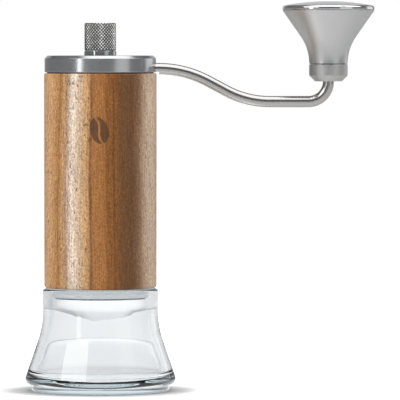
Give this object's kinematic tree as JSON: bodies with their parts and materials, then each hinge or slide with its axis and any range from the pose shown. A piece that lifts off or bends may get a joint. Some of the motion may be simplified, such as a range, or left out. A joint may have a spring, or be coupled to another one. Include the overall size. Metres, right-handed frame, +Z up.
{
  "type": "burr coffee grinder",
  "caption": "Hand-cranked burr coffee grinder: wooden body on a flared glass jar, metal lid with a bent crank arm, funnel-shaped spinning handle and a knurled grind adjuster.",
  "frame": {"origin": "centre of the jar's base, on the body's axis, on the surface the grinder stands on", "axes": "+Z up along the body's axis, +X from the body's axis to the handle at rest, +Y to the far side, so the front that carries the burned mark faces -Y"},
  "size_m": [0.1739, 0.075, 0.1938],
  "materials": {
    "clear_glass": "clear, thick-walled, pressed",
    "walnut": "oiled, open pores, grain along the axis",
    "tube_steel": "brushed",
    "seal_silicone": "translucent white silicone",
    "black_nylon": "matt",
    "black_screws": "black oxide",
    "cast_frame": "bead-blasted casting",
    "bearing_steel": "ground",
    "spring_steel": "drawn wire",
    "carrier_aluminium": "turned",
    "burr_steel": "milled, satin",
    "ring_steel": "turned",
    "ball_chrome": "polished",
    "cage_brass": "pressed",
    "bush_bronze": "sintered",
    "shaft_steel": "ground",
    "nut_steel": "zinc plated",
    "lid_aluminium": "satin turned",
    "black_rubber": "matt",
    "arm_steel": "satin ground",
    "click_steel": "polished",
    "collar_steel": "turned, satin",
    "knob_steel": "knurled, gunmetal grey",
    "handle_aluminium": "bead-blasted",
    "cap_chrome": "polished"
  },
  "bodies": {
    "jar": {"glass_jar": "clear_glass"},
    "housing": {"wood_sleeve": "walnut", "inner_tube": "tube_steel", "jar_seal": "seal_silicone", "glide_ring": "black_nylon", "tube_screws": "black_screws", "upper_bridge": "cast_frame", "upper_outer_race": "bearing_steel", "upper_circlip": "spring_steel", "lower_bridge": "cast_frame", "lower_outer_race": "bearing_steel", "lower_circlip": "spring_steel", "burr_carrier": "carrier_aluminium", "carrier_screws": "black_screws", "outer_burr": "burr_steel", "burr_retaining_ring": "ring_steel"},
    "upper_ball_set": {"upper_balls": "ball_chrome", "upper_ball_cage": "cage_brass"},
    "lower_ball_set": {"lower_balls": "ball_chrome", "lower_ball_cage": "cage_brass"},
    "drive_core": {"upper_inner_race": "bearing_steel", "upper_drive_bush": "bush_bronze", "lower_inner_race": "bearing_steel", "lower_drive_bush": "bush_bronze"},
    "shaft": {"drive_shaft": "shaft_steel", "inner_burr": "burr_steel", "burr_washer": "ring_steel", "burr_nut": "nut_steel", "burr_spring": "spring_steel", "spring_washer": "ring_steel"},
    "crank": {"crank_lid": "lid_aluminium", "lid_o_ring": "black_rubber", "crank_arm": "arm_steel", "arm_set_screw": "black_screws", "click_ring": "click_steel", "handle_collar": "collar_steel", "handle_spindle": "shaft_steel", "spindle_washer": "ring_steel", "spindle_screw": "black_screws"},
    "adjuster": {"adjusting_knob": "knob_steel", "detent_ball": "ball_chrome", "detent_spring": "spring_steel"},
    "handle": {"handle_shell": "handle_aluminium", "handle_cap": "cap_chrome", "lower_handle_bush": "black_nylon", "upper_handle_bush": "black_nylon"}
  },
  "joints": [
    {"name": "mill_lift", "type": "slide", "parent": "jar", "child": "housing", "axis": [0, 0, 1], "range_m": [0, 0.06]},
    {"name": "crank_turn", "type": "hinge", "parent": "housing", "child": "drive_core", "pos_m": [0, 0, 0.1449], "axis": [0, 0, 1], "continuous": true},
    {"name": "upper_cage_turn", "type": "hinge", "parent": "housing", "child": "upper_ball_set", "pos_m": [0, 0, 0.1449], "axis": [0, 0, 1], "continuous": true},
    {"name": "lower_cage_turn", "type": "hinge", "parent": "housing", "child": "lower_ball_set", "pos_m": [0, 0, 0.0799], "axis": [0, 0, 1], "continuous": true},
    {"name": "lid_lift", "type": "slide", "parent": "drive_core", "child": "crank", "axis": [0, 0, 1], "range_m": [0, 0.04]},
    {"name": "adjust_turn", "type": "hinge", "parent": "crank", "child": "adjuster", "pos_m": [0, 0, 0.176], "axis": [0, 0, 1], "range_deg": [-540, 360]},
    {"name": "burr_lift", "type": "slide", "parent": "drive_core", "child": "shaft", "axis": [0, 0, 1], "range_m": [-0.001, 0.0015], "deforming": ["burr_spring"]},
    {"name": "handle_spin", "type": "hinge", "parent": "crank", "child": "handle", "pos_m": [0.1135, 0, 0.17], "axis": [0, 0, 1], "continuous": true}
  ],
  "couplings": [
    {"joint": "adjust_turn", "follows": "burr_lift", "rad_per_m": -6283.2},
    {"joint": "upper_cage_turn", "follows": "crank_turn", "ratio": 0.4172},
    {"joint": "lower_cage_turn", "follows": "crank_turn", "ratio": 0.4172}
  ]
}
